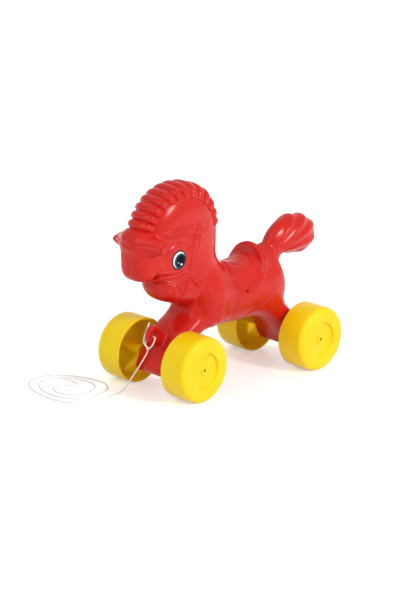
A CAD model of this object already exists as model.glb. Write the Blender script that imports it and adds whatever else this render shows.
import math

import bpy
import numpy as np
from mathutils import Matrix, Vector


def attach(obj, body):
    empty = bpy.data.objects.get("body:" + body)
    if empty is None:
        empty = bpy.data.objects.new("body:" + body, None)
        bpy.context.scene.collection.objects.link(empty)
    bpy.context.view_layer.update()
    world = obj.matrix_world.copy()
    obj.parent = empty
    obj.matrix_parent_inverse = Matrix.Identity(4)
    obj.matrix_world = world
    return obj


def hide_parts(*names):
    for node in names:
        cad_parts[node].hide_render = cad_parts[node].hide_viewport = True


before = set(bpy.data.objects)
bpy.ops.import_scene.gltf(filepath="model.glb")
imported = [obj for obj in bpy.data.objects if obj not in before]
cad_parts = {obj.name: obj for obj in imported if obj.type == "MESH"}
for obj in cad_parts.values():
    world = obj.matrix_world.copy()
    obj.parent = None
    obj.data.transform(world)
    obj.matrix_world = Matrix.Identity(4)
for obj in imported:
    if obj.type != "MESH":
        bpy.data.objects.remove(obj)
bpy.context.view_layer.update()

MM = 0.001
SIDES = (("left", 1), ("right", -1))

# The photograph's frame and viewing angle
FRAME_H = 601
FOCAL_PX = 3337.6
SENSOR = 36.0
VIEW_AZIMUTH = 47.94
VIEW_ELEVATION = 16.31
VIEW_ROLL = 3.24
VIEW_DISTANCE = 4.41
VIEW_END = 50
LOOK_AT = Vector((0.0355, 0.0008, 0.1094))


def add_camera():
    """Camera at the photograph's angle. Azimuth runs from +Y towards +X."""
    az, el, roll = (math.radians(a) for a in (VIEW_AZIMUTH, VIEW_ELEVATION, VIEW_ROLL))
    back = Vector((math.sin(az) * math.cos(el), math.cos(az) * math.cos(el), math.sin(el)))
    level = Vector((-math.cos(az), math.sin(az), 0))
    upright = back.cross(level)
    right = math.cos(roll) * level + math.sin(roll) * upright
    up = back.cross(right)
    data = bpy.data.cameras.new("photo_view")
    data.sensor_fit = "VERTICAL"
    data.sensor_height = SENSOR
    data.lens = SENSOR * FOCAL_PX / FRAME_H
    data.clip_end = VIEW_END
    camera = bpy.data.objects.new("photo_view", data)
    place = Matrix((right, up, back)).transposed().to_4x4()
    place.translation = LOOK_AT + VIEW_DISTANCE * back
    camera.matrix_world = place
    bpy.context.scene.collection.objects.link(camera)
    bpy.context.scene.camera = camera


# Shader helpers, with the mix node's colour sockets and the range where most noise lies
MIX_FIRST = 6
MIX_SECOND = 7
MIX_RESULT = 2
MID_NOISE = (0.3, 0.7)


def new_material(name):
    """A node material, its tree and its main shader."""
    material = bpy.data.materials.new(name)
    material.use_nodes = True
    tree = material.node_tree
    return material, tree, tree.nodes["Principled BSDF"]


def add_node(tree, kind, **settings):
    """A node with its own settings and, by socket name, its input values."""
    node = tree.nodes.new(kind)
    for key, value in settings.items():
        if key in node.inputs:
            node.inputs[key].default_value = value
        else:
            setattr(node, key, value)
    return node


def object_place(tree):
    """Places in the object's own space."""
    return add_node(tree, "ShaderNodeTexCoord").outputs["Object"]


def noise(tree, place, scale, detail):
    """Noise at a place."""
    node = add_node(tree, "ShaderNodeTexNoise", Scale=scale, Detail=detail)
    tree.links.new(place, node.inputs["Vector"])
    return node.outputs["Fac"]


def remap(tree, value, from_range, to_range=(0, 1)):
    """A value moved from one range to another and kept inside it."""
    node = add_node(tree, "ShaderNodeMapRange")
    for key, number in zip(("From Min", "From Max", "To Min", "To Max"), (*from_range, *to_range)):
        node.inputs[key].default_value = number
    tree.links.new(value, node.inputs["Value"])
    return node.outputs["Result"]


def mix_colour(tree, amount, first, second):
    """Blend of two colours, each a value or a socket."""
    node = add_node(tree, "ShaderNodeMix", data_type="RGBA")
    tree.links.new(amount, node.inputs["Factor"])
    for number, colour in ((MIX_FIRST, first), (MIX_SECOND, second)):
        if isinstance(colour, tuple):
            node.inputs[number].default_value = (*colour, 1)
        else:
            tree.links.new(colour, node.inputs[number])
    return node.outputs[MIX_RESULT]


def arithmetic(tree, operation, first, second):
    """One operation on two values or sockets."""
    node = add_node(tree, "ShaderNodeMath", operation=operation)
    for socket, value in zip(node.inputs, (first, second)):
        if isinstance(value, (int, float)):
            socket.default_value = value
        else:
            tree.links.new(value, socket)
    return node.outputs[0]


def bump(tree, height, strength, distance, under=None):
    """Bump from a height, over another bump if one is given."""
    node = add_node(tree, "ShaderNodeBump", Strength=strength, Distance=distance)
    tree.links.new(height, node.inputs["Height"])
    if under is not None:
        tree.links.new(under, node.inputs["Normal"])
    return node.outputs["Normal"]


# Plastics: main colour, deeper clouds and worn edges, then how far the roughness varies
RED_TINTS = ((0.67, 0.016, 0.007), (0.59, 0.011, 0.006), (0.74, 0.05, 0.035))
YELLOW_TINTS = ((0.99, 0.72, 0.008), (0.98, 0.66, 0.006), (0.99, 0.8, 0.1))
SMOOTHER = 0.05
ROUGHER = 0.06
SEAM_EDGE = (0.0002, 0.0006)
GLOW_SHARE = 0.15
GLOW_RADIUS = (1, 0.45, 0.08)
GLOW_DEPTH = 0.008


def mould_seam(tree, place, under):
    """Bump of the mould's parting line in the middle plane."""
    apart = add_node(tree, "ShaderNodeSeparateXYZ")
    tree.links.new(place, apart.inputs[0])
    off = arithmetic(tree, "ABSOLUTE", apart.outputs["Y"], 0)
    line = remap(tree, off, SEAM_EDGE, (1, 0))
    return bump(tree, line, strength=0.45, distance=0.0004, under=under)


def moulded_plastic(name, tints, rough, shine, seam):
    """Satin plastic: cloudy colour, worn edges, uneven gloss, fine grain and, if asked, a mould seam."""
    material, tree, shader = new_material(name)
    colour, deep, worn = tints
    place = object_place(tree)
    clouds = remap(tree, noise(tree, place, scale=14, detail=4), (0.35, 0.7))
    tint = mix_colour(tree, clouds, deep, colour)
    edges = add_node(tree, "ShaderNodeNewGeometry").outputs["Pointiness"]
    sharp = remap(tree, edges, (0.53, 0.6))
    scuffs = arithmetic(tree, "MULTIPLY", sharp, noise(tree, place, scale=160, detail=5))
    tree.links.new(mix_colour(tree, scuffs, tint, worn), shader.inputs["Base Color"])
    patches = noise(tree, place, scale=45, detail=5)
    uneven = remap(tree, patches, MID_NOISE, (rough - SMOOTHER, rough + ROUGHER))
    tree.links.new(uneven, shader.inputs["Roughness"])
    shader.inputs["Specular IOR Level"].default_value = shine
    grain = bump(tree, noise(tree, place, scale=2200, detail=2), strength=0.05, distance=0.0002)
    finish = bump(tree, noise(tree, place, scale=38, detail=2), strength=0.1, distance=0.0008, under=grain)
    if seam:
        finish = mould_seam(tree, place, finish)
    tree.links.new(finish, shader.inputs["Normal"])
    return material


def let_light_in(material):
    """Light passes a little way into the plastic."""
    sockets = material.node_tree.nodes["Principled BSDF"].inputs
    sockets["Subsurface Weight"].default_value = GLOW_SHARE
    sockets["Subsurface Radius"].default_value = GLOW_RADIUS
    sockets["Subsurface Scale"].default_value = GLOW_DEPTH


# Steel rod and cord
STEEL_DARK = (0.5, 0.51, 0.53)
STEEL_PALE = (0.7, 0.71, 0.73)
STEEL_SPOT = (0.2, 0.17, 0.15)
DRAWN_SCALE = (1, 0.03, 1)
CORD_HOLLOW = (0.78, 0.75, 0.71)
CORD_WHITE = (0.93, 0.91, 0.88)
CORD_DUST = (0.78, 0.74, 0.68)
CORD_SHEEN = 0.2


def rod_steel():
    """Drawn steel rod: lines along the rod and small dark spots."""
    material, tree, shader = new_material("axle_steel")
    place = object_place(tree)
    drawn = add_node(tree, "ShaderNodeMapping", Scale=DRAWN_SCALE)
    tree.links.new(place, drawn.inputs["Vector"])
    lines = noise(tree, drawn.outputs["Vector"], scale=2400, detail=3)
    spots = remap(tree, noise(tree, place, scale=420, detail=4), (0.62, 0.7))
    tint = mix_colour(tree, lines, STEEL_DARK, STEEL_PALE)
    tree.links.new(mix_colour(tree, spots, tint, STEEL_SPOT), shader.inputs["Base Color"])
    tree.links.new(remap(tree, lines, MID_NOISE, (0.24, 0.42)), shader.inputs["Roughness"])
    shader.inputs["Metallic"].default_value = 1
    tree.links.new(bump(tree, lines, strength=0.1, distance=0.0001), shader.inputs["Normal"])
    return material


def twisted_cord():
    """White toy cord with greyer hollows, fibres and a little floor dust."""
    material, tree, shader = new_material("cord_white")
    place = object_place(tree)
    hollows = add_node(tree, "ShaderNodeNewGeometry").outputs["Pointiness"]
    lay = mix_colour(tree, remap(tree, hollows, (0.4, 0.52)), CORD_HOLLOW, CORD_WHITE)
    dust = remap(tree, noise(tree, place, scale=60, detail=3), (0.5, 0.8), (0, 0.5))
    tree.links.new(mix_colour(tree, dust, lay, CORD_DUST), shader.inputs["Base Color"])
    fibres = noise(tree, place, scale=3200, detail=2)
    tree.links.new(remap(tree, fibres, MID_NOISE, (0.7, 0.9)), shader.inputs["Roughness"])
    shader.inputs["Sheen Weight"].default_value = CORD_SHEEN
    tree.links.new(bump(tree, fibres, strength=0.25, distance=0.0002), shader.inputs["Normal"])
    return material


# Eye sticker: middle and radii in half widths towards the nose and half heights up, softness, colour
EYE_HALF_W = 11.5
EYE_HALF_H = 13.0
EYE_WHITE = ((0.01, 0.01), (0.84, 0.86), 0.03, (0.86, 0.88, 0.9))
EYE_IRIS = ((-0.16, -0.07), (0.77, 0.78), 0.04, (0.02, 0.085, 0.14))
EYE_IRIS_DEEP = ((-0.25, -0.04), (0.62, 0.66), 0.2, (0.003, 0.008, 0.025))
EYE_PUPIL = ((-0.25, 0.06), (0.36, 0.42), 0.12, (0.0015, 0.0015, 0.003))
EYE_SMALL_LIGHT = ((-0.02, -0.3), (0.08, 0.07), 0.25, (0.5, 0.66, 0.75))
EYE_MAIN_LIGHT = ((-0.48, -0.38), (0.13, 0.11), 0.2, (0.95, 0.96, 0.98))
EYE_LAYERS = (EYE_WHITE, EYE_IRIS, EYE_IRIS_DEEP, EYE_PUPIL, EYE_SMALL_LIGHT, EYE_MAIN_LIGHT)
EYE_BLACK = (0.006, 0.006, 0.008)
EYE_BLACK_DOT = (0.012, 0.012, 0.016)
PRINT_SHINE = 0.08


def oval_mask(tree, place, middle, radii, soft):
    """1 inside an oval of the eye's own plane, 0 outside."""
    moved = add_node(tree, "ShaderNodeVectorMath", operation="SUBTRACT")
    moved.inputs[1].default_value = (*middle, 0)
    tree.links.new(place, moved.inputs[0])
    scaled = add_node(tree, "ShaderNodeVectorMath", operation="MULTIPLY")
    scaled.inputs[1].default_value = (1 / radii[0], 1 / radii[1], 0)
    tree.links.new(moved.outputs[0], scaled.inputs[0])
    length = add_node(tree, "ShaderNodeVectorMath", operation="LENGTH")
    tree.links.new(scaled.outputs[0], length.inputs[0])
    return remap(tree, length.outputs["Value"], (1 - soft, 1 + soft), (1, 0))


def eye_print(name, noseward):
    """Printed sticker: black outline, white ring, blue iris, pupil and two lights. The nose lies
    along the sticker's own x axis, or against it where noseward is -1."""
    material, tree, shader = new_material(name)
    place = object_place(tree)
    dots = noise(tree, place, scale=1500, detail=2)
    tint = mix_colour(tree, remap(tree, dots, MID_NOISE), EYE_BLACK, EYE_BLACK_DOT)
    for middle, radii, soft, colour in EYE_LAYERS:
        spot = (noseward * middle[0] * EYE_HALF_W * MM, middle[1] * EYE_HALF_H * MM)
        size = (radii[0] * EYE_HALF_W * MM, radii[1] * EYE_HALF_H * MM)
        tint = mix_colour(tree, oval_mask(tree, place, spot, size, soft), tint, colour)
    tree.links.new(tint, shader.inputs["Base Color"])
    tree.links.new(remap(tree, dots, MID_NOISE, (0.26, 0.34)), shader.inputs["Roughness"])
    shader.inputs["Specular IOR Level"].default_value = PRINT_SHINE
    tree.links.new(bump(tree, dots, strength=0.04, distance=0.0001), shader.inputs["Normal"])
    return material


RED = moulded_plastic("red_blown", RED_TINTS, rough=0.24, shine=0.24, seam=True)
YELLOW = moulded_plastic("yellow_moulded", YELLOW_TINTS, rough=0.3, shine=0.22, seam=False)
let_light_in(YELLOW)
STEEL = rod_steel()
CORD = twisted_cord()


# Curves and meshes
def curve_through(points, steps):
    """A smooth curve through a list of points, with some steps between neighbours."""
    p = np.asarray(points, float)
    last = len(p) - 1
    rows = []
    for i in range(last):
        a, b, c, d = p[max(i - 1, 0)], p[i], p[i + 1], p[min(i + 2, last)]
        for t in np.arange(steps) / steps:
            square = 2 * a - 5 * b + 4 * c - d
            cube = 3 * b - a - 3 * c + d
            rows.append(0.5 * (2 * b + (c - a) * t + square * t**2 + cube * t**3))
    rows.append(p[last])
    return np.array(rows)


def mesh_piece(name, points, faces, material, body, slot, place=None):
    """A smooth shaded mesh piece from points in millimetres, riding a body. Its points lie in the
    shared frame, or in a frame of its own where one is given."""
    mesh = bpy.data.meshes.new(name)
    mesh.from_pydata((np.asarray(points) * MM).tolist(), [], [list(f) for f in faces])
    mesh.polygons.foreach_set("use_smooth", np.ones(len(mesh.polygons), bool))
    mesh.materials.append(material)
    mesh.update()
    piece = bpy.data.objects.new(name, mesh)
    if place is not None:
        piece.matrix_world = place
    bpy.context.scene.collection.objects.link(piece)
    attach(piece, body)
    return piece


# Cord of three twisted strands
CORD_D = 2.0
CORD_SIDES = 12
CORD_STRANDS = 3
STRAND_LAY = 7.0
STRAND_DEPTH = 0.22
CORD_PITCH = 0.8
FIRST_ACROSS = (0.3, 0.2, 0.93)


def spaced(line, step):
    """Points along a line, about a step apart."""
    lengths = np.linalg.norm(np.diff(line, axis=0), axis=1)
    run = np.concatenate([[0], np.cumsum(lengths)])
    places = np.linspace(0, run[-1], max(int(run[-1] / step), 2) + 1)
    return np.stack([np.interp(places, run, line[:, k]) for k in range(3)], 1)


def cord_tube(line):
    """Points and faces of a twisted cord along a line, with closed ends."""
    points = spaced(line, CORD_PITCH)
    along = np.gradient(points, axis=0)
    along /= np.linalg.norm(along, axis=1)[:, None]
    across = np.cross(along[0], FIRST_ACROSS)
    rings = []
    angles = 2 * np.pi * np.arange(CORD_SIDES) / CORD_SIDES
    for i, point in enumerate(points):
        across = across - across.dot(along[i]) * along[i]
        across /= np.linalg.norm(across)
        up = np.cross(along[i], across)
        turn = 2 * np.pi * i * CORD_PITCH / STRAND_LAY
        waist = np.abs(np.sin(0.5 * CORD_STRANDS * (angles - turn)))
        radius = CORD_D / 2 * (1 - STRAND_DEPTH * (1 - waist) ** 2)
        spokes = np.outer(np.cos(angles), across) + np.outer(np.sin(angles), up)
        rings.append(point + radius[:, None] * spokes)
    return join_rings(np.array(rings))


def join_rings(rings):
    """Points and faces of a tube from its rings, with a middle point at each end."""
    count, sides = rings.shape[:2]
    points = np.concatenate([rings.reshape(-1, 3), [rings[0].mean(0)], [rings[-1].mean(0)]])
    k = np.arange(sides)
    after = (k + 1) % sides
    faces = []
    for r in range(count - 1):
        base = r * sides
        faces += np.stack([base + k, base + after, base + sides + after, base + sides + k], 1).tolist()
    first, last = count * sides, count * sides + 1
    faces += [[first, b, a] for a, b in zip(k, after)]
    top = (count - 1) * sides
    faces += [[last, top + a, top + b] for a, b in zip(k, after)]
    return points, faces


def merge_forms(forms):
    """Points and faces of several forms as one."""
    points, faces, base = [], [], 0
    for p, f in forms:
        points.append(np.asarray(p))
        faces += [[i + base for i in face] for face in f]
        base += len(p)
    return np.concatenate(points), faces


KNOT_R = 2.0
KNOT_RISE = 1.0
KNOT_GAP = 0.12
KNOT_POINTS = 60


def knot_line(middle, turn):
    """Line of an overhand knot drawn tight about a point."""
    t = np.linspace(KNOT_GAP, 2 * np.pi - KNOT_GAP, KNOT_POINTS)
    flat = np.stack([np.sin(t) + 2 * np.sin(2 * t), np.cos(t) - 2 * np.cos(2 * t)], 1) * KNOT_R / 3
    line = np.stack([flat[:, 0], flat[:, 1], -KNOT_RISE * np.sin(3 * t)], 1)
    return line @ np.array(Matrix.Rotation(turn, 3, "X")).T + np.asarray(middle)


# Places of the cord, as in the part's source
TOW_KNOT = (131, 0, 60.5)
TOW_KNOT_TURN = 0.5
END_KNOT = (178, -103, 3)
END_KNOT_TURN = 0.0
LOOP_STEPS = 6
LOOP_ROUTE = [
    (131, 1.5, 61.5), (131, 5, 64), (128.5, 6.4, 69), (125.5, 5.8, 74.5), (124.4, 3, 76.2), (124.4, 0, 76.2),
    (124.4, -3, 76.2), (125.5, -5.8, 74.5), (128.5, -6.4, 69), (131, -5, 64), (131, -1.5, 61.5)]
TAIL_ROUTE = [(131.5, -1, 62), (134, -4.8, 67), (133.5, -5.8, 74), (130, -5.4, 84), (125.5, -5.4, 94)]
CORD_STEPS = 8
CORD_ROUTE = [
    (131, 0, 59), (133, -2, 51), (140, -7, 35), (146, -13, 20), (153, -17, 7), (163, -18, 1.6),
    (180, -17, 1.1), (203, -14, 1.1), (228, -19, 1.1), (246, -36, 1.1), (250, -62, 1.1),
    (245, -90, 1.1), (236, -111, 1.1), (216, -128, 1.1), (189, -131, 1.1), (166, -116, 1.1),
    (151, -90, 1.1), (147, -64, 1.1), (158, -44, 1.1), (178, -34, 1.1), (204, -29, 1.1),
    (225, -36, 1.1), (237, -56, 1.1), (236, -82, 1.1), (222, -107, 1.1), (200, -119, 1.1),
    (179, -114, 1.1), (164, -94, 1.1), (160, -72, 1.1), (172, -54, 1.1), (196, -46, 1.1),
    (217, -54, 1.1), (224, -72, 1.1), (214, -88, 1.1), (197, -88, 1.1), (186, -78, 1.1),
    (177, -84, 1.1), (178, -101.5, 2)]


def add_cord():
    """Pull cord on the floor, its knot at the tow eye with loop and tail, and its end knot."""
    loop = cord_tube(curve_through(LOOP_ROUTE, LOOP_STEPS))
    short_end = cord_tube(curve_through(TAIL_ROUTE, LOOP_STEPS))
    knot = cord_tube(knot_line(TOW_KNOT, TOW_KNOT_TURN))
    tow = mesh_piece("tow_loop_cord", *merge_forms([loop, short_end, knot]), CORD, "horse", "cord")
    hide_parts("tow_loop")
    last_knot = cord_tube(knot_line(END_KNOT, END_KNOT_TURN))
    end = mesh_piece("end_knot_cord", *last_knot, CORD, "horse", "cord")
    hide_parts("end_knot")
    line = curve_through(CORD_ROUTE, CORD_STEPS)
    cord = mesh_piece("pull_cord_line", *cord_tube(line), CORD, "horse", "cord")
    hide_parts("pull_cord")


# Body as a field of distances on a grid of its left half, in millimetres
STEP = 1.0
GRID_LOW = (-187.0, 14.0)
GRID_HIGH = (186.0, 286.0)
GRID_HALF_W = 52.0
FAR = 30.0
SMALL = 1e-3
XS = np.arange(GRID_LOW[0], GRID_HIGH[0], STEP, dtype=np.float32)
ZS = np.arange(GRID_LOW[1], GRID_HIGH[1], STEP, dtype=np.float32)
YS = (np.arange(int(GRID_HALF_W / STEP)) + 0.5).astype(np.float32) * STEP
GX, GZ = np.meshgrid(XS, ZS, indexing="ij")
X3 = GX[:, None, :]
Y3 = YS[None, :, None]
Z3 = GZ[:, None, :]

# Stations of the forms: x, z, half width, half depth, squareness
BARREL = [
    (64, 108.5, 9.5, 8.5, 2), (60, 109.5, 20.9, 22.1, 2), (52, 111.5, 30.4, 34, 2),
    (38, 115.5, 36.5, 42.3, 2), (17, 115.5, 38, 43.8, 2), (-11, 115, 38, 43.2, 2),
    (-48, 116.25, 38, 44.25, 2), (-75, 118, 36.9, 46, 2), (-95, 121.5, 32.5, 41.5, 2.1),
    (-105, 124.5, 22, 30, 2), (-109, 126, 9, 14, 2)]
FRONT_LEG = [
    (36, 104, 34, 21, 2.4), (66, 84, 31, 18.5, 2.4), (84, 70, 32, 20, 2.5), (95, 54, 34.5, 20, 3),
    (103, 40.5, 37.5, 21, 4)]
REAR_LEG = [
    (-70, 103, 33.75, 24, 2.2), (-94, 80, 33.75, 18.5, 2.5), (-114, 61, 35.6, 17, 3),
    (-128, 47, 37.5, 17.5, 4), (-139, 36, 37.5, 18, 4)]
NECK = [
    (35, 100.5, 22.8, 14, 2), (39, 114.5, 32.7, 24, 2), (46, 132.5, 34.2, 28, 2), (57, 156, 32, 38, 2),
    (69, 180, 31, 46, 2), (83, 202, 30, 53, 2)]
MUZZLE = [
    (108, 194, 30, 40, 2.3), (132, 188.5, 28.5, 33.5, 2.6), (150, 185, 27.5, 28.8, 3),
    (166, 183.5, 26, 25.8, 3.2), (184, 183.5, 23, 24, 3.2)]
JAW = [
    (70, 142, 31, 30, 2.2), (94, 142, 29, 24.5, 2.3), (113, 143, 26, 19.5, 2.4), (125, 146.5, 21, 13, 2.4),
    (132.5, 149.5, 14, 7.5, 2.2), (135.5, 151, 5, 3, 2)]
TAIL = [
    (-88, 139, 12, 15, 2), (-99, 157, 12.5, 16.5, 2), (-110, 168, 14, 21, 2.1), (-126, 173.5, 16, 25, 2.2),
    (-146, 173.5, 17, 25.5, 2.2), (-162, 169, 15.5, 23, 2.2), (-173, 165.5, 12, 17.5, 2.1),
    (-179, 164, 6.5, 9.5, 2)]
LOFT_STEPS = 10
LOFT_END = 3.0
HEAD_X, HEAD_Z, HEAD_R, HEAD_HALF_W, HEAD_POWER = 94, 208, 66, 30, 3.2
# Hooves: x, z and radius, with the rounding of their edges
FRONT_HOOF = (103, 40.5, 22.5)
REAR_HOOF = (-139, 36, 18)
HOOF_EDGE = 7.0
HOOF_BLEND = 6
LEG_HALF_W = 37.5
LEG_EDGE = 2
# Front face of the front leg: a slope down to the toe, with a slight bulge across
TOE_SLOPE = ((103.5, 58), (121, 22))
TOE_BULGE = 11.0
TOE_EDGE = 12
# Front face of the muzzle, which leans forward up to the brim
NOSE_SLOPE = ((166.5, 164), (171, 198))
NOSE_BULGE = 7.5
NOSE_HALF_W = 26.0
NOSE_EDGE = 14


def smooth_min(a, b, k):
    """Union of two fields with a fillet of about k."""
    h = np.clip(0.5 + 0.5 * (b - a) / k, 0, 1)
    return b + (a - b) * h - k * h * (1 - h)


def smooth_max(a, b, k):
    """Common part of two fields with an edge rounded by about k."""
    return -smooth_min(-a, -b, k)


def ease(value, low, high):
    """0 below low, 1 above high and smooth between them."""
    t = np.clip((value - low) / (high - low), 0, 1)
    return t * t * (3 - 2 * t)


def along_path(points):
    """For each place in the middle plane: its distance from a path, where on the path it is nearest,
    how far to the path's left it lies, and the run along the path, which goes on past the ends.
    Last comes the path's own length."""
    best = np.full(GX.shape, np.inf, np.float32)
    place, left, run = (np.zeros(GX.shape, np.float32) for _ in range(3))
    start = 0.0
    last = len(points) - 2
    for i in range(last + 1):
        ax, az = points[i][:2]
        dx, dz = points[i + 1][0] - ax, points[i + 1][1] - az
        length = math.hypot(dx, dz)
        t = ((GX - ax) * dx + (GZ - az) * dz) / length**2
        held = np.clip(t, 0, 1)
        gone = np.clip(t, -np.inf if i == 0 else 0, np.inf if i == last else 1)
        away = (GX - ax - held * dx) ** 2 + (GZ - az - held * dz) ** 2
        near = away < best
        best[near] = away[near]
        place[near] = i + held[near]
        left[near] = ((dx * (GZ - az) - dz * (GX - ax)) / length)[near]
        run[near] = start + gone[near] * length
        start += length
    return np.sqrt(best), place, left, run, start


def oval(y, v, half_w, half_d, power):
    """Distance from a rounded section, measured along the line from its middle."""
    f = ((y / half_w) ** power + (v / half_d) ** power) ** (1 / power)
    return np.hypot(y, v) * (1 - 1 / np.maximum(f, SMALL))


def loft(stations):
    """Field of a form on a spine in the middle plane."""
    fine = curve_through(stations, LOFT_STEPS)
    distance, place, left, run, total = along_path(fine)
    near = distance < fine[:, 2:4].max() + FAR
    index = np.arange(len(fine))
    half_w, half_d, power = (np.interp(place[near], index, fine[:, k])[:, None] for k in (2, 3, 4))
    side = oval(YS[None, :], np.abs(left[near])[:, None], half_w, half_d, power)
    ends = np.maximum(-run, run - total)[near][:, None]
    field = np.full((len(XS), len(YS), len(ZS)), FAR, np.float32)
    ix, iz = np.nonzero(near)
    field[ix, :, iz] = smooth_max(side, ends, LOFT_END)
    return field


def polygon(points):
    """Distance field of a convex polygon with its points in clockwise order."""
    field = np.full(GX.shape, -np.inf, np.float32)
    for (ax, az), (bx, bz) in zip(points, points[1:] + points[:1]):
        length = math.hypot(bx - ax, bz - az)
        field = np.maximum(field, ((bz - az) * -(GX - ax) + (bx - ax) * (GZ - az)) / length)
    return field


def hoof_block(x, z, r):
    """Hoof: a round block across the body with rounded side edges."""
    out = np.hypot(GX - x, GZ - z)[:, None, :] - (r - HOOF_EDGE)
    wide = Y3 - (LEG_HALF_W - HOOF_EDGE)
    corner = np.hypot(np.maximum(out, 0), np.maximum(wide, 0))
    return corner + np.minimum(np.maximum(out, wide), 0) - HOOF_EDGE


def leg(stations, hoof):
    """Leg block with its hoof, flat on the wheel's side."""
    form = smooth_min(loft(stations), hoof_block(*hoof), HOOF_BLEND)
    return smooth_max(form, Y3 - LEG_HALF_W, LEG_EDGE)


def sloped_front(form, slope, bulge, half_w, k):
    """A form cut by a plane through two places in the middle plane, with a slight bulge across."""
    (ax, az), (bx, bz) = slope
    length = math.hypot(bx - ax, bz - az)
    ahead = ((GX - ax) * abs(bz - az) + (GZ - az) * (bx - ax) * np.sign(az - bz)) / length
    return smooth_max(form, ahead[:, None, :] - bulge * (1 - (Y3 / half_w) ** 2), k)


def front_leg():
    """Front leg block, drawn in to a sloping face above the toe."""
    return sloped_front(leg(FRONT_LEG, FRONT_HOOF), TOE_SLOPE, TOE_BULGE, LEG_HALF_W, TOE_EDGE)


def muzzle():
    """Muzzle with its leaning front below the brim."""
    return sloped_front(loft(MUZZLE), NOSE_SLOPE, NOSE_BULGE, NOSE_HALF_W, NOSE_EDGE)


# Relief in side view: paths of x and z, and for bands and hollows their half width
BROWBAND = [
    (138, 220, 0.6), (128, 221, 3.8), (117, 221, 4.8), (105, 222, 4.6), (90, 220.5, 5.2), (82, 220, 5)]
CHEEK_STRAP = [(80, 211, 5), (82, 206, 5.6), (86, 188, 5.2), (87.5, 169, 4.6)]
NOSEBAND = [(92, 162.5, 2.5), (100, 160.5, 3.8), (110, 158, 3.6), (119, 156.8, 2.8), (127, 156.2, 2)]
RIBBON = [(86, 158, 2), (80, 152, 3.6), (74, 147, 4.4)]
LIP_HOLLOW = [(98, 166, 1.2), (112, 164, 2), (126, 163, 3), (140, 163.5, 4.2), (147, 165, 5)]
JAW_LINES = (
    [(137, 151.5), (127, 151), (115, 151), (107, 152)],
    [(125, 143.5), (120, 147), (113, 148.3), (106, 146), (103, 141)],
    [(91, 155), (94, 146), (98, 138), (101, 129)])
LID_LINES = (
    [(134, 194), (132, 199), (127, 203), (121, 205.3), (114, 206.3), (105, 204)],
    [(130.5, 195), (128, 198.5), (124, 200.8), (118, 202.3), (111, 202.5)])
WRINKLES = (
    [(156, 190), (150, 189), (145, 185), (142, 180)],
    [(157, 186), (152, 184.6), (147, 181), (144, 176)],
    [(157, 181), (152, 178.4), (149, 174)])
PATH_STEPS = 6
# Bands with the height of their flat and of their rims, lines with their height and half width
BANDS = ((BROWBAND, 1.1, 2.6), (CHEEK_STRAP, 1.2, 2.5), (NOSEBAND, 1.2, 2.5), (RIBBON, 1.2, 2.5))
BAND_EDGE = 0.8
BAND_RIM_IN = 0.4
BAND_RIM_W = 1.4
LINES = ((JAW_LINES, 2.0, 1.5), (LID_LINES, 1.5, 1.4), (WRINKLES, 1.5, 1.5))
LIP_SHARE = 0.9
# Studs: x, z, radius, height, with their ring and dome as shares of these
STUDS = ((76, 220, 7.2, 3.0), (88, 162.5, 6.6, 3.0), (112, 140, 3.2, 1.6), (111, 134, 3.2, 1.6))
RING_AT = 0.8
RING_W = 0.22
DOME_W = 0.42
DOME_H = 1.3
# Saddle flap: its double rim and the sunk field inside it, then the girth and the fold of the thigh
SADDLE_RIM = [
    (-1, 160), (1, 154), (4, 146.5), (1, 138), (-5, 130), (-12, 124.5), (-17, 125), (-30, 128.5),
    (-42, 135.5), (-50, 146), (-53.5, 160), (-54, 178)]
RIM_APART = 5.2
RIM_HALF_W = 1.5
RIM_H = 2.2
FLAP_DEEP = 1.2
FLAP_EDGE = (-3, 0.5)
FLAP_FRONT = (-12, 0)
GIRTH = [(-10, 121), (-1, 116), (2, 106), (2, 89), (-3, 76)]
GIRTH_DEEP, GIRTH_HALF_W = 1.2, 1.3
THIGH = [(-24, 86), (-36, 92), (-48, 99)]
THIGH_DEEP, THIGH_HALF_W = 1.2, 5


def path_and_width(path):
    """Distance from a path of x, z and half width, and the half width at the nearest place on it."""
    fine = curve_through(path, PATH_STEPS)
    distance, place = along_path(fine)[:2]
    return distance, np.interp(place, np.arange(len(fine)), fine[:, 2])


def strap(path, height, rim):
    """Raised band along a path, with raised edges."""
    distance, half_w = path_and_width(path)
    flat = height * (1 - ease(distance, half_w - BAND_EDGE, half_w + BAND_EDGE))
    return flat + rim * np.exp(-(((distance - half_w + BAND_RIM_IN) / BAND_RIM_W) ** 2))


def hollow(path, share):
    """Hollow along a path, deeper where it is wider."""
    distance, half_w = path_and_width(path)
    return -share * half_w * np.exp(-((distance / half_w) ** 2))


def ridge(path, height, half_w):
    """Rounded line along a path. A height below zero makes a groove."""
    distance = along_path(curve_through(path, PATH_STEPS))[0]
    return height * np.exp(-((distance / half_w) ** 2))


def rosette(x, z, r, height):
    """Round stud with a raised ring and a middle dome."""
    distance = np.hypot(GX - x, GZ - z)
    ring = height * np.exp(-(((distance - RING_AT * r) / (RING_W * r)) ** 2))
    return ring + DOME_H * height * np.exp(-((distance / (DOME_W * r)) ** 2))


def head_relief():
    """Bridle, jaw lines, eyelid, muzzle wrinkles and lip on the side of the head."""
    relief = np.zeros(GX.shape, np.float32)
    for path, height, rim in BANDS:
        relief = np.maximum(relief, strap(path, height, rim))
    for stud in STUDS:
        relief = np.maximum(relief, rosette(*stud))
    for paths, height, half_w in LINES:
        for path in paths:
            relief = np.maximum(relief, ridge(path, height, half_w))
    return relief + hollow(LIP_HOLLOW, LIP_SHARE)


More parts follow.
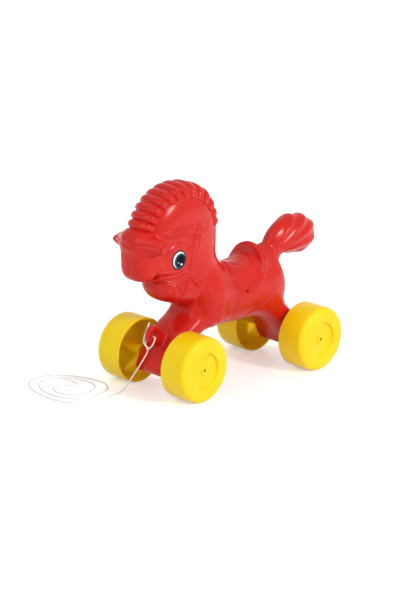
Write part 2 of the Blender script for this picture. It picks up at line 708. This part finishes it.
def saddle_relief():
    """Double rim round the saddle's flap, the girth below it and the fold of the thigh."""
    distance, _, left, _, _ = along_path(curve_through(SADDLE_RIM, PATH_STEPS))
    outside = np.sign(left) * distance
    rims = np.exp(-((outside / RIM_HALF_W) ** 2)) + np.exp(-(((outside - RIM_APART) / RIM_HALF_W) ** 2))
    sunk = 1 - ease(outside, *FLAP_EDGE)
    relief = RIM_H * rims - FLAP_DEEP * sunk * ease(-GX, *FLAP_FRONT)
    return relief + ridge(GIRTH, -GIRTH_DEEP, GIRTH_HALF_W) + ridge(THIGH, -THIGH_DEEP, THIGH_HALF_W)


# Mane: degrees round the head, radius and half width of its lower edge there, and its top's radius
MANE_EDGE = [
    (0, 63, 19, 82), (20, 62, 20, 80.8), (42, 61.5, 21, 78), (53, 59.5, 23, 76.2), (66, 56.5, 24.5, 74.6),
    (92, 55.5, 25, 73.4), (105, 53.5, 26, 73.8), (126, 52.5, 26.5, 74.3), (150, 52, 26.5, 70),
    (175, 52, 26, 66)]
MANE_TURNS = (11, 20, 29.5, 40, 51, 62.5, 74.5, 87, 100, 113.5, 127, 140.5, 153, 164)
MANE_CROWN, MANE_CROWN_W = 3.0, 20
MANE_KNOB, MANE_KNOB_IN, MANE_KNOB_W = 1.8, 7, 4.5
MANE_STEP = 1.4
MANE_SLOPE = 0.42
MANE_ROUND = 9.0
MANE_EDGE_ROUND = 1.5
# Rolls: their depth, the share of a half round they take, and how the first and last one fall off
ROLL_DEEP = 8.0
ROLL_SPAN = 0.9
ROLL_END_TURN = 12
ROLL_FALL, ROLL_FALL_FROM = 14, 1.05
# Lower part of each roll, with shallower grooves, a parting line and a scalloped end
LOW_PART = (-6, 0)
LOW_SHALLOW = 0.45
PARTING_DEEP, PARTING_W = 0.9, 0.09
PARTING_TOP = (-12, -9)
SCALLOP = 2.2


def mane():
    """Rolls over the crest that end in a stepped, scalloped edge on each side of the head."""
    turn = np.degrees(np.arctan2(GZ - HEAD_Z, GX - HEAD_X))
    turn = np.where(turn < -90, turn + 360, turn)
    within = np.clip(turn, MANE_TURNS[0], MANE_TURNS[-1])
    number = np.interp(within, MANE_TURNS, np.arange(len(MANE_TURNS)))
    off = number - np.round(number) + (turn - within) / ROLL_END_TURN
    share = 2 * np.abs(off)
    bow = 1 - np.sqrt(np.maximum(1 - (ROLL_SPAN * share) ** 2, 0))
    dip = ROLL_DEEP * bow + ROLL_FALL * np.maximum(share - ROLL_FALL_FROM, 0)
    dip = np.minimum(dip, FAR)[:, None, :]
    off = off[:, None, :]
    table = np.array(MANE_EDGE)
    edge_r, edge_w, top_r = (np.interp(turn, table[:, 0], table[:, k])[:, None, :] for k in (1, 2, 3))
    out = np.hypot(GX - HEAD_X, GZ - HEAD_Z)[:, None, :]
    top = out - top_r + MANE_CROWN * (Y3 / MANE_CROWN_W) ** 2
    knob = MANE_KNOB * np.exp(-(((out - top_r + MANE_KNOB_IN) / MANE_KNOB_W) ** 2))
    side = (Y3 - edge_w - MANE_STEP - knob + MANE_SLOPE * (out - edge_r)) / math.hypot(1, MANE_SLOPE)
    arch = smooth_max(top, side, MANE_ROUND)
    low = ease(Y3 - edge_w, *LOW_PART)
    parting = PARTING_DEEP * np.exp(-((off / PARTING_W) ** 2)) * low
    parting = parting * (1 - ease(out - top_r, *PARTING_TOP))
    form = arch + dip * (1 - LOW_SHALLOW * low) + parting
    edge = edge_r + SCALLOP * (2 * np.clip(off, -0.5, 0.5)) ** 2 - out
    return smooth_max(form, edge, MANE_EDGE_ROUND)


# Ears: stations outwards from the middle: y, x, z, half depth, half height
EARS = [
    (0, 168, 210, 14, 12.5), (12, 166.5, 210.5, 13.5, 12.5), (22, 161, 209.5, 12.5, 12),
    (30, 157.5, 208, 11, 10.5), (37, 157.5, 206.7, 8, 7.6), (43, 158.5, 206.2, 4.5, 4.3),
    (46, 159.5, 206, 1.8, 1.8)]
EAR_STEPS = 8
EAR_POWER = 2.4
EAR_TIP_EDGE = 2
# Grooves along the front of the forelock and ears: path of y and z, depth, half width, start
EAR_GROOVES = (
    ([(0, 207.5), (17, 210.5), (26, 211.5), (35, 210), (44, 207)], 2.0, 1.8, 0),
    ([(14, 204), (26, 205), (36, 205.5), (44, 206)], 1.5, 1.4, 14))
GROOVE_FADE = 6
GROOVE_END = (38, 45)
GROOVE_FRONT = (0, 3)
# Folds along the outside of each ear: x, z
EAR_FOLDS = ([(141, 204.5), (150, 206.5), (163, 208)], [(143, 211.5), (152, 212.5), (162, 211)])
FOLD_DEEP, FOLD_HALF_W = 1.6, 1.5
FOLD_FROM = (22, 28)


def ears():
    """Forelock brim that runs out to an ear on each side, with grooves along its front."""
    fine = curve_through(EARS, EAR_STEPS)
    x, z, depth, height = (np.interp(YS, fine[:, 0], fine[:, k])[None, :, None] for k in (1, 2, 3, 4))
    ahead = X3 - x
    form = oval(np.abs(Z3 - z), np.abs(ahead), height, depth, EAR_POWER)
    form = smooth_max(form, Y3 - EARS[-1][0], EAR_TIP_EDGE)
    for line, deep, half_w, start in EAR_GROOVES:
        table = np.array(line)
        middle = np.interp(YS, table[:, 0], table[:, 1])[None, :, None]
        window = ease(Y3, start - GROOVE_FADE, start) * (1 - ease(Y3, *GROOVE_END))
        groove = deep * np.exp(-(((Z3 - middle) / half_w) ** 2))
        form = form + groove * ease(ahead, *GROOVE_FRONT) * window
    for line in EAR_FOLDS:
        form = form + ridge(line, FOLD_DEEP, FOLD_HALF_W)[:, None, :] * ease(Y3, *FOLD_FROM)
    return form


# Saddle: the cantle's arch and the seat's hollow as x, z, half length, half height
CANTLE_X, CANTLE_Z, CANTLE_R, CANTLE_ARCH = -56.5, 168.5, 5.0, 22.5
CANTLE_FOOT, CANTLE_FOOT_EDGE = 138.0, 4
SCOOP = (-22.5, 183, 31.5, 29.3)
# Tail: where its ridges fan out from, their turns and half width in degrees, and where they rise
TAIL_ROOT = (-79, 145.5)
TAIL_RIDGES = (46, 34, 22.5, 11, 0)
TAIL_RIDGE_W = 3.3
TAIL_RIDGE_H = 2.2
TAIL_RIDGE_FROM = (18, 42)
# Tow eye: x, z and radius of the eye and of its root
LUG = (123, 79, 12.0)
LUG_ROOT = (106.2, 67, 8.4)
LUG_HALF_T = 4.0
LUG_EDGE = 2.5
LUG_HOLE_R = 4.5
LUG_HOLE_EDGE = 1.2
# Eye seats: middle, turn towards the nose, lean back, and how far the seat reaches past the sticker
EYE_X, EYE_Y, EYE_Z, EYE_TURN, EYE_LEAN = 114, 30.4, 185, 9.0, 15.0
SEAT_PAST = 1
SEAT_DEEP = 9
SEAT_EDGE = 1.0


def cantle():
    """Raised rear edge of the saddle, an arch over the back."""
    drop = Z3 - (CANTLE_Z - CANTLE_ARCH)
    ring = np.hypot(Y3, np.maximum(drop, 0)) - CANTLE_ARCH
    form = np.hypot(ring, X3 - CANTLE_X) - CANTLE_R
    return smooth_max(form, CANTLE_FOOT - Z3, CANTLE_FOOT_EDGE)


def seat_scoop():
    """Hollow of the seat, a round across the body in front of the cantle."""
    x, z, half_l, half_h = SCOOP
    return oval(np.abs(X3 - x), np.abs(Z3 - z), half_l, half_h, 2.0)


def tail():
    """Plume of the tail with ridges that fan out from its root."""
    back, up = TAIL_ROOT[0] - GX, GZ - TAIL_ROOT[1]
    turn = np.degrees(np.arctan2(up, back))
    relief = 0
    for middle in TAIL_RIDGES:
        relief = relief + np.exp(-(((turn - middle) / TAIL_RIDGE_W) ** 2))
    relief = TAIL_RIDGE_H * relief * ease(np.hypot(back, up), *TAIL_RIDGE_FROM)
    return loft(TAIL) - relief[:, None, :]


def lug():
    """Tow eye: a round eye that runs back into the leg block."""
    (ax, az, ar), (bx, bz, br) = LUG, LUG_ROOT
    t = np.clip(((GX - ax) * (bx - ax) + (GZ - az) * (bz - az)) / ((bx - ax) ** 2 + (bz - az) ** 2), 0, 1)
    side = np.hypot(GX - ax - t * (bx - ax), GZ - az - t * (bz - az)) - (ar + t * (br - ar))
    return smooth_max(side[:, None, :], Y3 - LUG_HALF_T, LUG_EDGE)


def seated_eye(body):
    """The body with a flat oval seat for the eye sticker, sunk in where the head is fuller."""
    turn, lean = math.radians(EYE_TURN), math.radians(EYE_LEAN)
    right = X3 - EYE_X
    out = Y3 - EYE_Y
    up = Z3 - EYE_Z
    height = math.sin(turn) * right + math.cos(turn) * out
    ahead = math.cos(turn) * right - math.sin(turn) * out
    across = math.cos(lean) * ahead + math.sin(lean) * up
    along = math.cos(lean) * up - math.sin(lean) * ahead
    rim = oval(np.abs(across), np.abs(along), EYE_HALF_W + SEAT_PAST, EYE_HALF_H + SEAT_PAST, 2.0)
    seat = np.maximum(smooth_max(rim, height, SEAT_EDGE), -height - SEAT_DEEP)
    body = smooth_min(body, seat, SEAT_EDGE)
    return smooth_max(body, -np.maximum(rim, -height), SEAT_EDGE)


# How softly the forms run into each other, in millimetres
NECK_BLEND = 27
CANTLE_BLEND = 11
SCOOP_EDGE = 3
FRONT_LEG_BLEND = 18
REAR_LEG_BLEND = 12
TAIL_BLEND = 18
JAW_BLEND = 4
FACE_BLEND = 7
HEAD_BLEND = 9
MANE_BLEND = 1.0
EARS_BLEND = 6.0
LUG_BLEND = 5
# Where the relief sets in: y from the middle plane, and how far back it also runs over the top
SADDLE_RELIEF_Y = (4, 10)
SADDLE_RELIEF_BACK = (40, 48)
HEAD_RELIEF_Y = (2, 8)
# Mouth, and the seam down the nose with its reach forwards, from its foot and up to its top
MOUTH = [(128, 167), (172, 156), (176, 142), (150, 152)]
MOUTH_EDGE = 2.5
NOSE_SEAM = 0.9
SEAM_FRONT = (161, 166)
SEAM_FOOT = (164, 168)
SEAM_TOP = (194, 198)
# Vent hole in the left side: x, z, radius, and the y it starts from
VENT_X, VENT_Z, VENT_R, VENT_Y = -15, 122.5, 2.2, 30


def trunk():
    """Barrel and neck with the saddle, the leg blocks and the tail."""
    form = smooth_min(loft(BARREL), loft(NECK), NECK_BLEND)
    form = smooth_min(form, cantle(), CANTLE_BLEND)
    form = smooth_max(form, -seat_scoop(), SCOOP_EDGE)
    shown = np.maximum(ease(Y3, *SADDLE_RELIEF_Y), ease(-X3, *SADDLE_RELIEF_BACK))
    form = form - saddle_relief()[:, None, :] * shown
    form = smooth_min(form, front_leg(), FRONT_LEG_BLEND)
    form = smooth_min(form, leg(REAR_LEG, REAR_HOOF), REAR_LEG_BLEND)
    return smooth_min(form, tail(), TAIL_BLEND)


def head():
    """Head with muzzle, jaw, open mouth and bridle, and a seam down the nose."""
    out = np.hypot(GX - HEAD_X, GZ - HEAD_Z)[:, None, :]
    form = oval(Y3, out, HEAD_HALF_W, HEAD_R, HEAD_POWER)
    face = smooth_min(muzzle(), loft(JAW), JAW_BLEND)
    face = smooth_max(face, -polygon(MOUTH)[:, None, :], MOUTH_EDGE)
    form = smooth_min(form, face, FACE_BLEND)
    form = form - head_relief()[:, None, :] * ease(Y3, *HEAD_RELIEF_Y)
    nose = ease(GX, *SEAM_FRONT) * ease(GZ, *SEAM_FOOT) * (1 - ease(GZ, *SEAM_TOP))
    return form + NOSE_SEAM * nose[:, None, :] * np.exp(-(Y3**2))


def body_field():
    """The whole body's left half."""
    body = smooth_min(trunk(), head(), HEAD_BLEND)
    body = smooth_min(body, mane(), MANE_BLEND)
    body = smooth_min(body, ears(), EARS_BLEND)
    body = seated_eye(body)
    body = smooth_min(body, lug(), LUG_BLEND)
    hole = LUG_HOLE_R - np.hypot(GX - LUG[0], GZ - LUG[1])
    return smooth_max(body, hole[:, None, :], LUG_HOLE_EDGE)


def whole_field():
    """Both halves, with the vent hole in the left one."""
    half = body_field()
    bore = VENT_R - np.hypot(GX - VENT_X, GZ - VENT_Z)
    pierced = np.maximum(half, np.minimum(bore[:, None, :], Y3 - VENT_Y))
    return np.concatenate([half[:, ::-1, :], pierced], axis=1)


# Meshing of the field
CORNERS = np.array([[i, j, k] for i in (0, 1) for j in (0, 1) for k in (0, 1)])
EDGES = [(a, b) for a in range(8) for b in range(a + 1, 8) if np.abs(CORNERS[a] - CORNERS[b]).sum() == 1]
RELAX_ROUNDS = 3
EVEN_SHARE = 0.5
LEAST_STEEP = 0.2
MOST_MOVE = 0.7
BODY_FACES = 180000


def shifted(array, offset):
    """For each cell of a grid, the value at one of its corners."""
    cut = tuple(slice(o, n - 1 + o) for o, n in zip(offset, array.shape))
    return array[cut]


def surface(field):
    """Points in grid steps and quads of the field's zero surface: one point per crossed cell."""
    inside = field < 0
    count = sum(shifted(inside, c).astype(np.int8) for c in CORNERS)
    cells = np.argwhere((count > 0) & (count < len(CORNERS)))
    number = np.full(np.array(field.shape) - 1, -1, np.int64)
    number[tuple(cells.T)] = np.arange(len(cells))
    values = [field[tuple((cells + c).T)] for c in CORNERS]
    total = np.zeros((len(cells), 3))
    hits = np.zeros((len(cells), 1))
    for a, b in EDGES:
        cross = (values[a] < 0) != (values[b] < 0)
        t = np.where(cross, values[a] / np.where(cross, values[a] - values[b], 1), 0)[:, None]
        total += cross[:, None] * (CORNERS[a] + t * (CORNERS[b] - CORNERS[a]))
        hits += cross[:, None]
    points = cells + total / hits
    faces = []
    for axis in range(3):
        step = np.eye(3, dtype=int)[axis]
        u, v = (np.eye(3, dtype=int)[(axis + k) % 3] for k in (1, 2))
        low = inside[tuple(slice(0, n - s) for n, s in zip(inside.shape, step))]
        high = inside[tuple(slice(s, None) for s in step)]
        places = np.argwhere(low != high)
        places = places[(places[:, (axis + 1) % 3] > 0) & (places[:, (axis + 2) % 3] > 0)]
        outward = low[tuple(places.T)]
        ring = np.stack([number[tuple((places - o).T)] for o in (u + v, v, 0 * u, u)], 1)
        faces.append(np.where(outward[:, None], ring, ring[:, ::-1]))
    return points, np.concatenate(faces)


def sample(field, points):
    """Values of a grid at points between its corners."""
    base = np.clip(np.floor(points).astype(int), 0, np.array(field.shape) - 2)
    t = points - base
    total = 0
    for c in CORNERS:
        weight = np.prod(np.where(c, t, 1 - t), axis=1)
        total = total + weight * field[tuple((base + c).T)]
    return total


def relax(field, points, faces):
    """Even out the points and bring them back to the zero surface."""
    slopes = np.gradient(field)
    corners = faces.ravel()
    uses = np.bincount(corners, minlength=len(points))[:, None]
    for _ in range(RELAX_ROUNDS):
        middles = np.repeat(points[faces].mean(1), 4, axis=0)
        moved = np.stack([np.bincount(corners, middles[:, k], len(points)) for k in range(3)], 1)
        points = (1 - EVEN_SHARE) * points + EVEN_SHARE * moved / uses
        slope = np.stack([sample(s, points) for s in slopes], 1)
        steep = np.maximum((slope**2).sum(1), LEAST_STEEP)
        points = points - np.clip(sample(field, points) / steep, -MOST_MOVE, MOST_MOVE)[:, None] * slope
    return points


def add_body():
    """Blown body with its moulded relief."""
    field = whole_field()
    points, faces = surface(field)
    points = relax(field, points, faces)
    low = np.array([XS[0], -YS[-1], ZS[0]])
    body = mesh_piece("horse_body", low + points * STEP, faces, RED, "horse", "red_plastic")
    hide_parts("body_shell")
    triangles = 2 * len(faces)
    if triangles > BODY_FACES:
        thin = body.modifiers.new("thin", "DECIMATE")
        thin.ratio = BODY_FACES / triangles


# Wheels: section corners as radius, distance from the middle plane, rounding
WHEEL_X = {"front": 103.0, "rear": -127.0}
WHEEL_Z = 44.0
WHEEL_TURNS = 144
CORNER_STEPS = 7
WHEEL_SECTION = [
    (2.1, 73.5, 0), (2.1, 76.5, 0.5), (6.2, 76.5, 0.8), (6.9, 74.5, 0.8), (23.0, 74.5, 0.8),
    (24.0, 78.5, 0.9), (44.0, 78.5, 7.0), (44.0, 38.5, 0.7), (41.6, 38.5, 0.7), (41.6, 76.1, 4.6),
    (26.4, 76.1, 0.6), (26.4, 72.1, 0.8), (7.0, 72.1, 1.0), (7.0, 37.9, 0.5), (2.52, 37.9, 0.5),
    (2.52, 73.5, 0)]


def rounded_outline(corners):
    """Closed outline with each corner rounded by its own radius."""
    line = []
    for i, (x, y, r) in enumerate(corners):
        here = np.array((x, y))
        if r == 0:
            line.append(here)
            continue
        to_a = np.array(corners[i - 1][:2]) - here
        to_b = np.array(corners[(i + 1) % len(corners)][:2]) - here
        to_a, to_b = to_a / np.linalg.norm(to_a), to_b / np.linalg.norm(to_b)
        half = 0.5 * math.acos(np.clip(to_a.dot(to_b), -1, 1))
        cut = r / math.tan(half)
        middle = (to_a + to_b) / np.linalg.norm(to_a + to_b) * r / math.sin(half)
        for t in np.linspace(0, 1, CORNER_STEPS):
            spoke = (1 - t) ** 2 * to_a * cut + t**2 * to_b * cut - middle
            line.append(here + middle + spoke / np.linalg.norm(spoke) * r)
    return np.array(line)


def turned_wheel(line, x, side):
    """Points and quads of a wheel turned from its section, on the left or the right."""
    angles = 2 * np.pi * np.arange(WHEEL_TURNS) / WHEEL_TURNS
    r, out = line[:, 0], line[:, 1] * side
    across = x + np.outer(np.cos(angles), r)
    upright = WHEEL_Z + np.outer(np.sin(angles), r)
    points = np.stack([across, np.tile(out, (WHEEL_TURNS, 1)), upright], 2).reshape(-1, 3)
    a = np.arange(WHEEL_TURNS)[:, None] * len(line) + np.arange(len(line))
    b = np.roll(a, -1, axis=0)
    quads = np.stack([a, np.roll(a, -1, axis=1), np.roll(b, -1, axis=1), b], 2).reshape(-1, 4)
    return points, quads[:, ::side]


def add_wheels():
    """Cup wheels, open towards the body, each turned from one section."""
    line = rounded_outline(WHEEL_SECTION)
    for end, x in WHEEL_X.items():
        for name, side in SIDES:
            form = turned_wheel(line, x, side)
            wheel = mesh_piece(f"{end}_{name}_wheel", *form, YELLOW, f"{end}_wheelset", "yellow_plastic")
            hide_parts(f"wheel_{end}_{name}")


# Eye stickers: thickness, and rings from the middle outwards as shares of the oval and the thickness
EYE_T = 0.5
EYE_RINGS = ((0.3, 0.98), (0.6, 0.9), (0.85, 0.8), (0.95, 0.72), (0.985, 0.6), (1.0, 0.4), (1.0, 0.0))
EYE_SIDES = 64


def eye_form():
    """Points and faces of a sticker with a slight dome, a rounded edge and a flat back."""
    angles = 2 * np.pi * np.arange(EYE_SIDES) / EYE_SIDES
    oval_line = np.stack([EYE_HALF_W * np.cos(angles), EYE_HALF_H * np.sin(angles)], 1)
    points = [[(0, 0, EYE_T)]]
    for share, height in EYE_RINGS:
        points.append(np.column_stack([share * oval_line, np.full(EYE_SIDES, EYE_T * height)]))
    k = np.arange(EYE_SIDES)
    after = (k + 1) % EYE_SIDES
    faces = [[0, 1 + a, 1 + b] for a, b in zip(k, after)]
    for r in range(len(EYE_RINGS) - 1):
        base = 1 + r * EYE_SIDES
        faces += [[base + a, base + EYE_SIDES + a, base + EYE_SIDES + b, base + b] for a, b in zip(k, after)]
    last = 1 + (len(EYE_RINGS) - 1) * EYE_SIDES
    faces.append((last + k[::-1]).tolist())
    return np.concatenate(points), faces


def eye_place(side):
    """Frame of an eye's own plane, with its z axis out of the head."""
    turn, lean = math.radians(EYE_TURN), math.radians(EYE_LEAN)
    out = Vector((math.sin(turn), side * math.cos(turn), 0))
    ahead = Vector((math.cos(turn), -side * math.sin(turn), 0))
    up = math.cos(lean) * Vector((0, 0, 1)) - math.sin(lean) * ahead
    place = Matrix((up.cross(out), up, out)).transposed().to_4x4()
    place.translation = Vector((EYE_X, side * EYE_Y, EYE_Z)) * MM
    return place


def add_eyes():
    """Eye stickers, each on its seat."""
    form = eye_form()
    for name, side in SIDES:
        finish = eye_print(f"eye_print_{name}", -side)
        eye = mesh_piece(f"eye_sticker_{name}", *form, finish, "horse", "eye_print", eye_place(side))
        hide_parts(f"eye_{name}")


def dress_axles():
    """The steel rods keep their solids and get their finish."""
    for node in ("front_axle", "rear_axle"):
        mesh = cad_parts[node].data
        mesh.materials.clear()
        mesh.materials.append(STEEL)


# Floor, light and background
FLOOR_SIZE = 40.0
FLOOR_COLOUR = (0.9, 0.9, 0.9)
FLOOR_ROUGH = 0.35
FLOOR_GLOW = 0.38
FLOOR_FADE = (0.5, 1.4)
WHITE = (1, 1, 1, 1)
WORLD_LIGHT = 0.6
# Lamps: name, power, place, size
LAMPS = (
    ("key", 25.0, (-0.35, 2.1, 1.25), (0.36, 0.3)),
    ("front_fill", 15.0, (1.9, 0.6, 1.8), (1.8, 1.8)))


def add_floor():
    """Plain pale floor that keeps the shadow and shows white to the camera."""
    mesh = bpy.data.meshes.new("floor")
    s = FLOOR_SIZE / 2
    mesh.from_pydata([(-s, -s, 0), (s, -s, 0), (s, s, 0), (-s, s, 0)], [], [(0, 1, 2, 3)])
    floor = bpy.data.objects.new("floor", mesh)
    bpy.context.scene.collection.objects.link(floor)
    material, tree, shader = new_material("floor_white")
    shader.inputs["Base Color"].default_value = (*FLOOR_COLOUR, 1)
    shader.inputs["Roughness"].default_value = FLOOR_ROUGH
    shader.inputs["Emission Color"].default_value = WHITE
    away = add_node(tree, "ShaderNodeVectorMath", operation="LENGTH")
    tree.links.new(object_place(tree), away.inputs[0])
    glow = remap(tree, away.outputs["Value"], FLOOR_FADE, (FLOOR_GLOW, 1))
    tree.links.new(arithmetic(tree, "MULTIPLY", seen_ray(tree), glow), shader.inputs["Emission Strength"])
    mesh.materials.append(material)


def seen_ray(tree):
    """1 on rays that show the background: from the camera, off gloss and through glass."""
    path = add_node(tree, "ShaderNodeLightPath")
    seen = arithmetic(tree, "MAXIMUM", path.outputs["Is Camera Ray"], path.outputs["Is Glossy Ray"])
    return arithmetic(tree, "MAXIMUM", seen, path.outputs["Is Transmission Ray"])


def add_light():
    """Soft key from the near side, a fill from the front, and an even white surround."""
    world = bpy.data.worlds.new("studio")
    world.use_nodes = True
    tree = world.node_tree
    background = tree.nodes["Background"]
    background.inputs["Color"].default_value = WHITE
    strength = remap(tree, seen_ray(tree), (0, 1), (WORLD_LIGHT, 1))
    tree.links.new(strength, background.inputs["Strength"])
    bpy.context.scene.world = world
    for name, power, start, size in LAMPS:
        light = bpy.data.lights.new(name, "AREA")
        light.shape = "RECTANGLE"
        light.size, light.size_y = size
        light.energy = power
        lamp = bpy.data.objects.new(name, light)
        lamp.location = start
        lamp.rotation_euler = (LOOK_AT - Vector(start)).to_track_quat("-Z", "Y").to_euler()
        bpy.context.scene.collection.objects.link(lamp)


add_camera()
add_cord()
add_body()
add_wheels()
add_eyes()
dress_axles()
add_floor()
add_light()
bpy.context.scene.view_settings.view_transform = "Standard"
